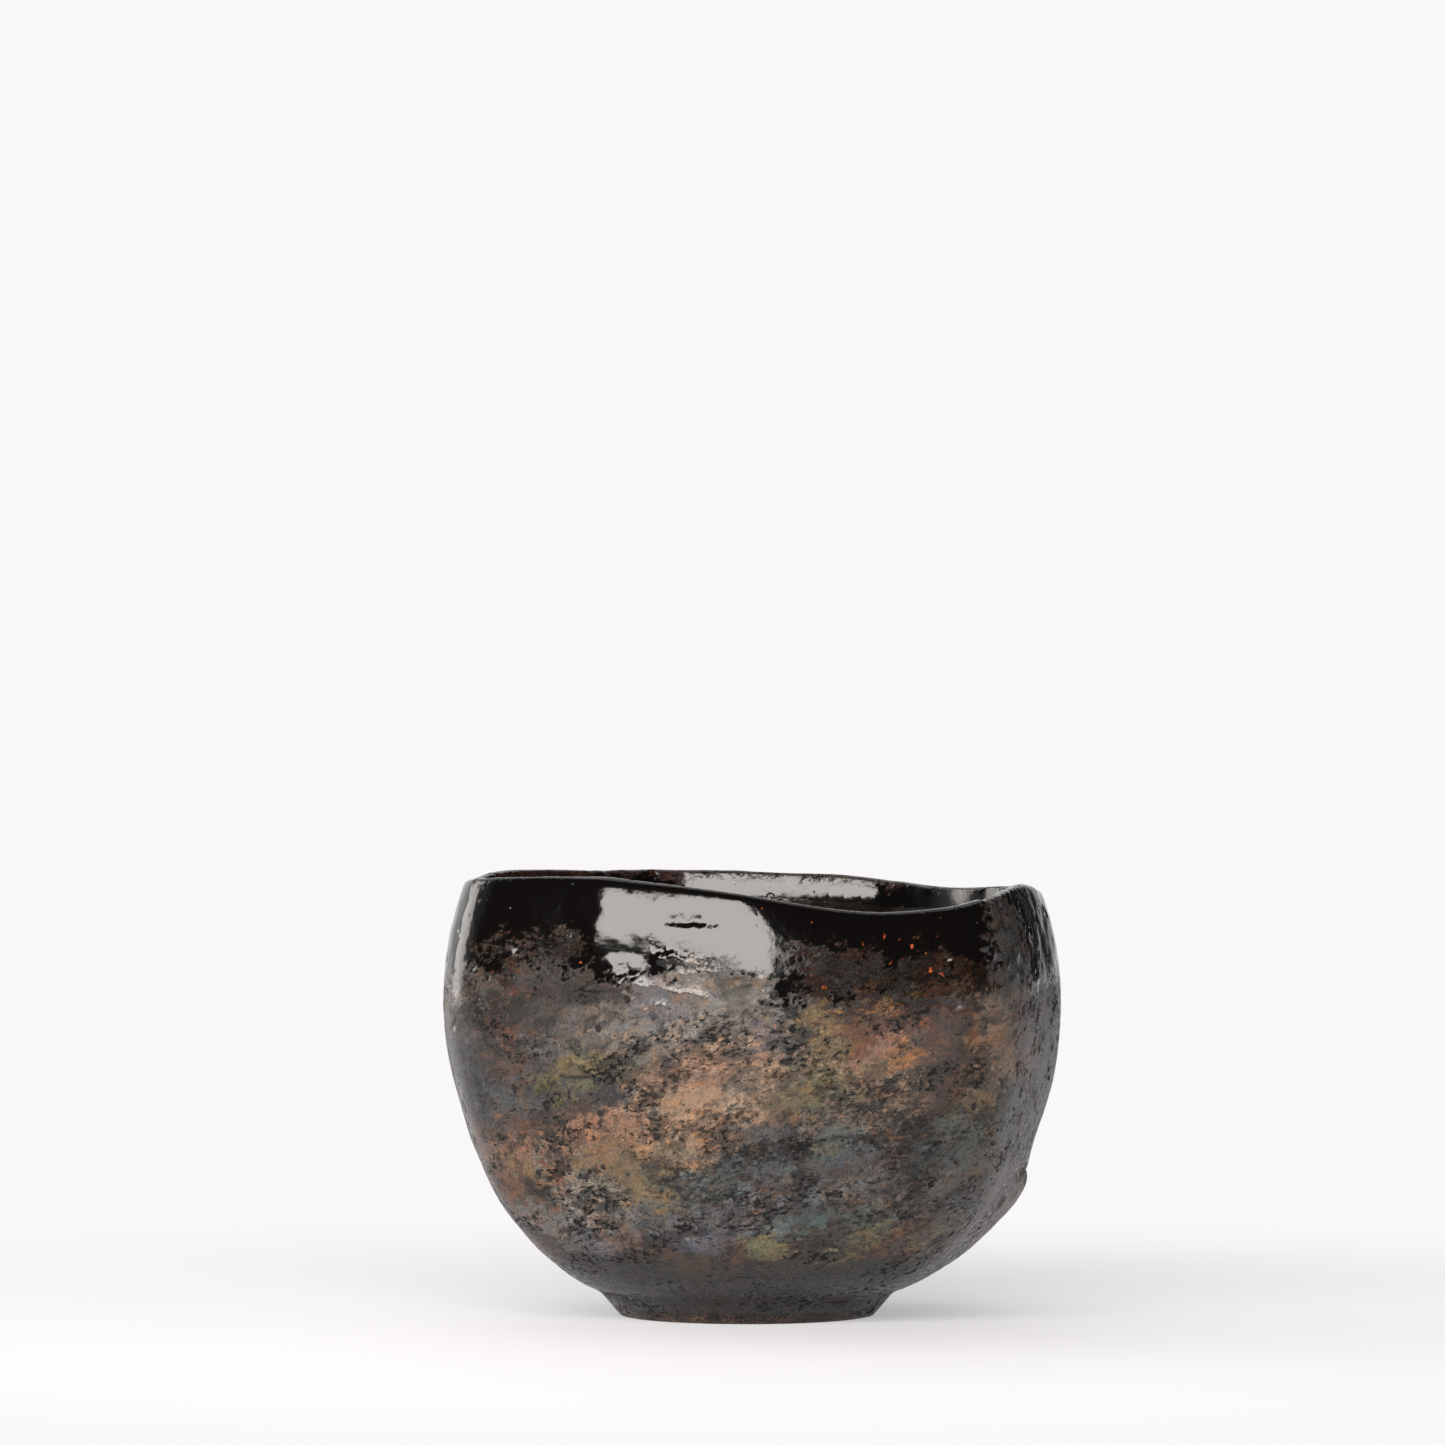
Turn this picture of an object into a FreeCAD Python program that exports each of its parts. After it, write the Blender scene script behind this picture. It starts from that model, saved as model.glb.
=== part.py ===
"""A hand-pinched, low-fired matcha bowl: a clay wall, a luted foot ring and the coats of glaze on them.

The bowl is first drawn round, as rows of points that run up the outside, over the lip, down the
inside and into the tea well. carve() then turns each point of that round bowl into the hand-shaped
one: flats cut round the wall, a lip that rises and dips, a ledge low on the right flank and a wall
that leans off its foot. Clay and glaze both go through carve(), so their faces meet exactly.

+Z is up, the foot stands on Z = 0 around the origin, and the front of the bowl faces -Y.
Lengths are in millimetres and bearings in degrees from +X, seen from above.
"""

import FreeCAD, Part
import math
import os
import Sketcher
from FreeCAD import Vector
from types import SimpleNamespace

# --- driving dimensions ---------------------------------------------------------------------------

SIZES = {
    # rings of the glazed outside, from the foot up: height above the table, and radius of the round
    # bowl, or how far the ring draws in from the belly, the widest ring
    "base_height": 4.5,
    "base_radius": 28.8,
    "hip_height": 11.6,
    "hip_radius": 41.4,
    "haunch_height": 25.0,
    "haunch_radius": 52.2,
    "flank_height": 42.0,
    "flank_draw_in": 2.5,
    "belly_height": 59.0,
    "belly_radius": 60.6,
    "shoulder_height": 73.0,
    "shoulder_draw_in": 0.8,
    "neck_height": 84.4,
    "neck_draw_in": 3.6,
    # how far the wall leans off the middle of the foot, towards +X
    "lean_offset": 1.1,
    # clay, measured square to the wall
    "floor_thickness": 6.8,
    "wall_thickness": 5.6,
    "lip_thickness": 2.3,
    # tea well, the shallow pool in the middle of the floor
    "well_radius": 17.0,
    "well_depth": 1.0,
    "well_slope": 3.5,
    # glaze, which thins out at its lower edge
    "glaze_thickness": 0.5,
    "glaze_edge_thickness": 0.15,
    # foot ring
    "foot_radius": 24.8,
    "foot_width": 6.5,
    "foot_draft": 1.2,
    "foot_round": 0.7,
    # point that the carving leaves in the middle of the foot
    "point_radius": 6.0,
    "point_tip_radius": 1.2,
    "point_height": 1.4,
    # ledge that the spatula leaves low on the right flank, and the hollow above it
    "ledge_bearing": 14.0,
    "ledge_height": 22.5,
    "ledge_rise": 1.9,
    "hollow_height": 33.5,
    "hollow_depth": 2.0,
    "ledge_half_angle": 14.0,
    "ledge_half_height": 6.0,
    # how crisp the ridges between the flats are: higher is crisper
    "flat_crispness": 15.0,
}

# Flats cut round the wall: bearing, and depth of the cut at the hip and at the belly.
FLATS = {
    "front_left": (-117.0, 4.0, 4.2),
    "front_right": (-76.0, 3.2, 4.6),
    "right": (-14.0, 0.4, 1.8),
    "back_right": (38.0, 0.6, 3.0),
    "back": (86.0, 3.0, 3.6),
    "back_left": (130.0, 3.4, 2.6),
    "left": (180.0, 3.8, 0.6),
}
FLAT_COLUMNS = ("bearing", "hip_cut", "belly_cut")

# Rises and dips of the lip: bearing, rise, and half width of the wave in degrees.
LIP_WAVES = {
    "front_dip": (-62.0, -5.2, 30.0),
    "front_left_rise": (-135.0, 1.0, 24.0),
    "left_dip": (178.0, -1.4, 18.0),
    "back_left_rise": (150.0, 0.9, 20.0),
    "back_rise": (108.0, 0.5, 26.0),
    "back_right_dip": (40.0, -2.4, 24.0),
    "right_dip": (4.0, -2.4, 13.0),
}
WAVE_COLUMNS = ("bearing", "rise", "half_angle")

# --- how finely the skins are drawn ---------------------------------------------------------------

COLUMNS = 48  # points round the bowl
WALL_ROWS = 16  # rows of points up the outside, and as many down the inside
DEGREE = 3
LIP_FULLNESS = 1.04  # makes the rounded lip as high as half its thickness
LIP_FLARE = 2.2  # how late the inside flares to the lip: 1 is a straight flare

# Where the coats of glaze begin and end, in rows along the skin.
GLAZE_LINE = 0.1
LIP_COAT_START = WALL_ROWS - 2.0
LIP_COAT_END = WALL_ROWS + 2.0
POOL_START = 2.0 * WALL_ROWS + 1.0

SEAM_TOLERANCE = 1e-4


def make_sheet(doc):
    """The spreadsheet of driving dimensions, and their values by alias."""
    cells = dict(SIZES)
    for name, values in FLATS.items():
        cells.update({f"{name}_flat_{column}": value for column, value in zip(FLAT_COLUMNS, values)})
    for name, values in LIP_WAVES.items():
        cells.update({f"{name}_{column}": value for column, value in zip(WAVE_COLUMNS, values)})
    sheet = doc.addObject("Spreadsheet::Sheet", "sizes")
    for row, (alias, value) in enumerate(cells.items(), start=1):
        sheet.set(f"A{row}", alias)
        sheet.set(f"B{row}", str(value))
        sheet.setAlias(f"B{row}", alias)
    doc.recompute()
    return SimpleNamespace(**{alias: float(sheet.get(alias)) for alias in cells})


def smooth_step(share):
    """0 below 0, 1 above 1, and a smooth rise between."""
    share = min(max(share, 0.0), 1.0)
    return share * share * (3.0 - 2.0 * share)


def bell(distance, half_width):
    """1 at no distance, falling smoothly to almost nothing at twice the half width."""
    return math.exp(-((distance / half_width) ** 2))


def turn_between(bearing_a, bearing_b):
    """The smaller angle between two bearings, in degrees."""
    return abs((bearing_a - bearing_b + 180.0) % 360.0 - 180.0)


# --- the round bowl -------------------------------------------------------------------------------


def outside_profile(size):
    """The glazed outside of the round bowl in one plane: X is the radius and Y the height."""
    rings = [
        (size.base_radius, size.base_height),
        (size.hip_radius, size.hip_height),
        (size.haunch_radius, size.haunch_height),
        (size.belly_radius - size.flank_draw_in, size.flank_height),
        (size.belly_radius, size.belly_height),
        (size.belly_radius - size.shoulder_draw_in, size.shoulder_height),
        (size.belly_radius - size.neck_draw_in, size.neck_height),
    ]
    curve = Part.BSplineCurve()
    curve.interpolate([Vector(radius, height, 0) for radius, height in rings])
    return curve


def clay_thickness(size, height):
    """The clay thins from the floor to the belly. At the shoulder its inside starts to flare to the lip."""
    to_belly = smooth_step((height - size.base_height) / (size.belly_height - size.base_height))
    to_neck = max((height - size.shoulder_height) / (size.neck_height - size.shoulder_height), 0.0)
    thickness = size.floor_thickness + (size.wall_thickness - size.floor_thickness) * to_belly
    return thickness + (size.lip_thickness - size.wall_thickness) * to_neck**LIP_FLARE


def skin_profile(size, is_glaze):
    """The points of one skin of the round bowl, as (radius, height), from the base to the tea well.

    The glaze skin is the face that shows, and the clay skin lies under it by the glaze's thickness.
    """
    curve = outside_profile(size)
    outside, inside = [], []
    for row in range(WALL_ROWS):
        place = curve.parameterAtDistance(curve.length() * row / (WALL_ROWS - 1))
        face, along = curve.value(place), curve.tangent(place)[0]
        outward = Vector(along.y, -along.x, 0)
        glaze = size.glaze_edge_thickness if row == 0 else size.glaze_thickness
        depth = 0.0 if is_glaze else glaze
        through = clay_thickness(size, face.y) + glaze + size.glaze_thickness
        inner_depth = through - (0.0 if is_glaze else size.glaze_thickness)
        outside.append(face - outward * depth)
        inside.append(face - outward * inner_depth)
    outside[0].y = size.base_height

    middle, half = (outside[-1] + inside[-1]) / 2, (outside[-1] - inside[-1]) / 2
    crest = along * half.Length * LIP_FULLNESS
    lip = [middle + half + crest, middle - half + crest]

    floor = inside[0].y
    well_floor = floor - size.well_depth
    well = [
        Vector(size.well_radius + size.well_slope, floor, 0),
        Vector(size.well_radius + size.well_slope / 2, floor, 0),
        Vector(size.well_radius + size.well_slope / 4, well_floor, 0),
        Vector(size.well_radius, well_floor, 0),
    ]
    points = outside + lip + inside[::-1] + well
    return [(point.x, point.y) for point in points]


# --- the shaping by hand --------------------------------------------------------------------------


def flats_share(size, height, bearing):
    """What the flats leave of the round bowl's radius, as a share of it."""
    up_the_wall = smooth_step((height - size.hip_height) / (size.belly_height - size.hip_height))
    total = 0.0
    for name in FLATS:
        flat_bearing, hip_cut, belly_cut = (getattr(size, f"{name}_flat_{c}") for c in FLAT_COLUMNS)
        cut = hip_cut + (belly_cut - hip_cut) * up_the_wall
        facing = math.cos(math.radians(bearing - flat_bearing))
        total += (max(facing, 0.0) / (1.0 - cut / size.belly_radius)) ** size.flat_crispness
    return total ** (-1.0 / size.flat_crispness)


def lip_lift(size, height, bearing):
    """How far the waves of the lip lift a point: nothing below the belly, all of it at the neck."""
    waves = 0.0
    for name in LIP_WAVES:
        wave_bearing, rise, half_angle = (getattr(size, f"{name}_{c}") for c in WAVE_COLUMNS)
        waves += rise * bell(turn_between(bearing, wave_bearing), half_angle)
    share = max(height - size.belly_height, 0.0) / (size.neck_height - size.belly_height)
    return waves * share**2


def ledge(size, height, bearing):
    """How far the ledge on the right flank stands out at a point, or the hollow over it sinks in."""
    across = bell(turn_between(bearing, size.ledge_bearing), size.ledge_half_angle)
    out = size.ledge_rise * bell(height - size.ledge_height, size.ledge_half_height)
    sunk = size.hollow_depth * bell(height - size.hollow_height, size.ledge_half_height)
    return across * (out - sunk)


def carve(size, radius, height, bearing):
    """The place, on the hand-shaped bowl, of a point of the round bowl."""
    off_the_foot = smooth_step((radius - size.base_radius) / (size.hip_radius - size.base_radius))
    share = 1.0 + off_the_foot * (flats_share(size, height, bearing) - 1.0)
    radius = radius * share + off_the_foot * ledge(size, height, bearing)
    lean = size.lean_offset * smooth_step((height - size.base_height) / (size.belly_height - size.base_height))
    turn = math.radians(bearing)
    return Vector(
        radius * math.cos(turn) + lean * off_the_foot,
        radius * math.sin(turn),
        height + lip_lift(size, height, bearing),
    )


def make_skin(size, is_glaze):
    """One skin of the bowl as a single smooth surface, closed round the bowl, from the base to the well."""
    profile = skin_profile(size, is_glaze)
    bearings = [360.0 * column / COLUMNS for column in range(COLUMNS)]
    poles = [[carve(size, radius, height, bearing) for radius, height in profile] for bearing in bearings]
    round_knots = list(range(COLUMNS + 1))
    along_knots = list(range(len(profile) - DEGREE + 1))
    clamped = [DEGREE + 1] + [1] * (len(along_knots) - 2) + [DEGREE + 1]
    skin = Part.BSplineSurface()
    skin.buildFromPolesMultsKnots(
        poles, [1] * (COLUMNS + 1), clamped, round_knots, along_knots, True, False, DEGREE, DEGREE
    )
    return skin


# --- solids ---------------------------------------------------------------------------------------


def band(skin, start, end):
    """The face of a skin between two rows."""
    round_start, round_end = skin.bounds()[:2]
    return skin.toShape(round_start, round_end, start, end)


def rim(skin, row):
    """The closed edge of a skin along one row."""
    return skin.vIso(row).toShape()


def disc(edge):
    """The flat face inside a flat closed edge."""
    return Part.Face(Part.Wire([edge]))


def solid_of(faces):
    """The solid that the faces close."""
    shell = Part.makeShell(faces)
    shell.sewShape(SEAM_TOLERANCE)
    solid = Part.makeSolid(shell)
    if solid.Volume < 0:
        solid.reverse()
    return solid


def coat(clay_skin, glaze_skin, start, end):
    """The solid glaze between the two skins, from one row to another."""
    caps = [Part.makeRuledSurface(rim(clay_skin, row), rim(glaze_skin, row)) for row in (start, end)]
    return solid_of([band(clay_skin, start, end), band(glaze_skin, start, end)] + caps)


def pool(clay_skin, glaze_skin, start):
    """The glaze that has run down and filled the tea well, level with the coat round it."""
    end = clay_skin.bounds()[3]
    step = Part.makeRuledSurface(rim(clay_skin, start), rim(glaze_skin, start))
    faces = [band(clay_skin, start, end), disc(rim(clay_skin, end)), step, disc(rim(glaze_skin, start))]
    return solid_of(faces)


def add_shape(doc, label, shape):
    """A sub-part whose shape no feature can make."""
    feature = doc.addObject("Part::Feature", label)
    feature.Shape = shape
    return feature


def make_foot_ring(doc, size):
    """The foot ring: a revolved section with its standing edges rounded, luted under the clay."""
    body = doc.addObject("PartDesign::Body", "foot_ring")
    sketch = body.newObject("Sketcher::SketchObject", "foot_section")
    plane = next(f for f in body.Origin.OriginFeatures if f.Role == "XZ_Plane")
    sketch.AttachmentSupport = (plane, [""])
    sketch.MapMode = "FlatFace"
    corners = [
        ("sizes.base_radius - sizes.glaze_edge_thickness", "sizes.base_height"),
        ("sizes.foot_radius", None),
        ("sizes.foot_radius - sizes.foot_width", None),
        ("sizes.foot_radius - sizes.foot_width - sizes.foot_draft", "sizes.base_height"),
    ]
    drawn = [
        Vector(size.base_radius, size.base_height, 0),
        Vector(size.foot_radius, 0, 0),
        Vector(size.foot_radius - size.foot_width, 0, 0),
        Vector(size.foot_radius - size.foot_width - size.foot_draft, size.base_height, 0),
    ]
    for corner, start in enumerate(drawn):
        sketch.addGeometry(Part.LineSegment(start, drawn[(corner + 1) % len(drawn)]))
    for corner in range(len(drawn)):
        following = (corner + 1) % len(drawn)
        sketch.addConstraint(Sketcher.Constraint("Coincident", corner, 2, following, 1))
    for corner, (across, up) in enumerate(corners):
        start = drawn[corner]
        index = sketch.addConstraint(Sketcher.Constraint("DistanceX", -1, 1, corner, 1, start.x))
        sketch.setExpression(f"Constraints[{index}]", across)
        if up is None:
            sketch.addConstraint(Sketcher.Constraint("PointOnObject", corner, 1, -1))
            continue
        index = sketch.addConstraint(Sketcher.Constraint("DistanceY", -1, 1, corner, 1, start.y))
        sketch.setExpression(f"Constraints[{index}]", up)
    turned = body.newObject("PartDesign::Revolution", "foot_turned")
    turned.Profile = sketch
    turned.ReferenceAxis = (sketch, ["V_Axis"])
    turned.Angle = 360
    doc.recompute()
    standing = [
        f"Edge{number}"
        for number, edge in enumerate(turned.Shape.Edges, start=1)
        if edge.isClosed() and edge.BoundBox.ZMax < SEAM_TOLERANCE
    ]
    rounded = body.newObject("PartDesign::Fillet", "foot_rounded")
    rounded.Base = (turned, standing)
    rounded.setExpression("Radius", "sizes.foot_round")
    body.Tip = rounded
    return body


def make_clay_body(doc, clay_skin):
    """The pinched clay, with the point that the carving leaves in the middle of its foot."""
    end = clay_skin.bounds()[3]
    faces = [band(clay_skin, 0, end), disc(rim(clay_skin, 0)), disc(rim(clay_skin, end))]
    pinched = add_shape(doc, "pinched_clay", solid_of(faces))
    point = doc.addObject("Part::Cone", "foot_point")
    point.setExpression("Radius1", "sizes.point_tip_radius")
    point.setExpression("Radius2", "sizes.point_radius")
    point.setExpression("Height", "sizes.point_height")
    point.setExpression("Placement.Base.z", "sizes.base_height - sizes.point_height")
    body = doc.addObject("Part::Fuse", "clay_body")
    body.Base = pinched
    body.Tool = point
    return body


def check(doc, nodes):
    """Stops if any object failed to build or any node is not whole."""
    for thing in doc.Objects:
        if {"Invalid", "Error"} & set(thing.State):
            raise RuntimeError(f"{thing.Label} failed: {thing.State}")
    for node in nodes:
        shape = node.Shape
        if shape.isNull() or not shape.isValid() or shape.Volume <= 0:
            raise RuntimeError(f"{node.Label} is not a sound solid")


def main():
    doc = FreeCAD.newDocument("matcha_bowl")
    size = make_sheet(doc)
    clay_skin = make_skin(size, is_glaze=False)
    glaze_skin = make_skin(size, is_glaze=True)
    nodes = [
        make_clay_body(doc, clay_skin),
        make_foot_ring(doc, size),
        add_shape(doc, "outer_glaze", coat(clay_skin, glaze_skin, GLAZE_LINE, LIP_COAT_START)),
        add_shape(doc, "lip_glaze", coat(clay_skin, glaze_skin, LIP_COAT_START, LIP_COAT_END)),
        add_shape(doc, "inner_glaze", coat(clay_skin, glaze_skin, LIP_COAT_END, POOL_START)),
        add_shape(doc, "well_glaze_pool", pool(clay_skin, glaze_skin, POOL_START)),
    ]
    doc.recompute()
    check(doc, nodes)
    os.makedirs("parts", exist_ok=True)
    for node in nodes:
        node.Shape.exportStep(f"parts/{node.Label}.step")
        print(f"{node.Label}: {node.Shape.Volume:.0f} mm3")


main()
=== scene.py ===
"""The looks of a hand-pinched black tea bowl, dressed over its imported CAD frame.

The CAD solids give the true form. The skins here are drawn on them ray by ray, then pressed and
scored a little as hands and a spatula would, and painted with the clouds of the firing.
Lengths are in metres unless a name or comment says millimetres. Bearings are in degrees from +X,
seen from above, and the front faces -Y.
"""

import math

import bpy
import numpy as np
from mathutils import Matrix, Vector, noise
from mathutils.bvhtree import BVHTree


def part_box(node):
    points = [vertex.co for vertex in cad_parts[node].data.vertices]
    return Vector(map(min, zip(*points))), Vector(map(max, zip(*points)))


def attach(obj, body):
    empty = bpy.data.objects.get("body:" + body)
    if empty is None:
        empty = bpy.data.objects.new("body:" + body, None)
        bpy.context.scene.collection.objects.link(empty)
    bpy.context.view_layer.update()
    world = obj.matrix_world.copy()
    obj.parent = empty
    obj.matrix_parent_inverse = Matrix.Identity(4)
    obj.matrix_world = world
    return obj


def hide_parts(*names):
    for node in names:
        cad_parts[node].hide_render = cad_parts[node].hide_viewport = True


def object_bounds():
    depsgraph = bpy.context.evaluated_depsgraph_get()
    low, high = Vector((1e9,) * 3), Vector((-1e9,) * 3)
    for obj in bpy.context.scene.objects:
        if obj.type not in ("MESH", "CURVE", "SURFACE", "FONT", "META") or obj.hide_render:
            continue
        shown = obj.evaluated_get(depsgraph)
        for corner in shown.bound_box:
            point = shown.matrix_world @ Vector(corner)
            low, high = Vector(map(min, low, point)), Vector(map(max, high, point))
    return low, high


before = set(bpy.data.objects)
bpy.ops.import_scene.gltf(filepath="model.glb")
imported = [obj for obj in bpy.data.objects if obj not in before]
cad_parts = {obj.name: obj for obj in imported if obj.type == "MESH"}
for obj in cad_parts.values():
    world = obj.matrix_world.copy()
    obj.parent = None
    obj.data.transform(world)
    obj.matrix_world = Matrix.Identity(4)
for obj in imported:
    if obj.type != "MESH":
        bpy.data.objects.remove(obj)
CAD_LOW, CAD_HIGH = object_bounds()

MM = 0.001

# --- how finely the skins are drawn ---------------------------------------------------------------

COLUMNS = 640
OUTSIDE_ROWS = 150
LIP_ROWS = 22
INSIDE_ROWS = 90
FOOT_ROWS = 40

HUB = Vector((0, 0, 62 * MM))  # a point in the open space inside the bowl, which the rays aim at
REACH = 0.2  # farther from the hub than any part of the bowl
LIP_BAND = 5 * MM  # how far the thin glaze of the lip runs down on each side of the crest
FOOT_LAP = 2.2 * MM  # how far the wall's skin laps down over the foot's side

# --- the clouds of the firing ---------------------------------------------------------------------

COLOURS = {  # sRGB, 0 to 255, as seen in the studio light
    "black": (13, 11, 10),
    "char": (24, 20, 19),
    "umber": (46, 31, 24),
    "maroon": (50, 28, 25),
    "soot": (64, 55, 49),
    "bark": (74, 56, 47),
    "leather": (102, 70, 49),
    "slate": (82, 81, 82),
    "iron": (104, 97, 92),
    "ash": (127, 118, 110),
    "steel": (84, 90, 94),
    "teal": (86, 100, 98),
    "violet": (97, 93, 104),
    "sand": (162, 135, 111),
    "clay": (150, 113, 90),
    "ochre": (126, 106, 72),
    "amber": (168, 112, 58),
    "olive": (114, 107, 76),
    "moss": (112, 104, 56),
    "rust": (112, 64, 42),
    "ember": (182, 86, 42),
}

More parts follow.
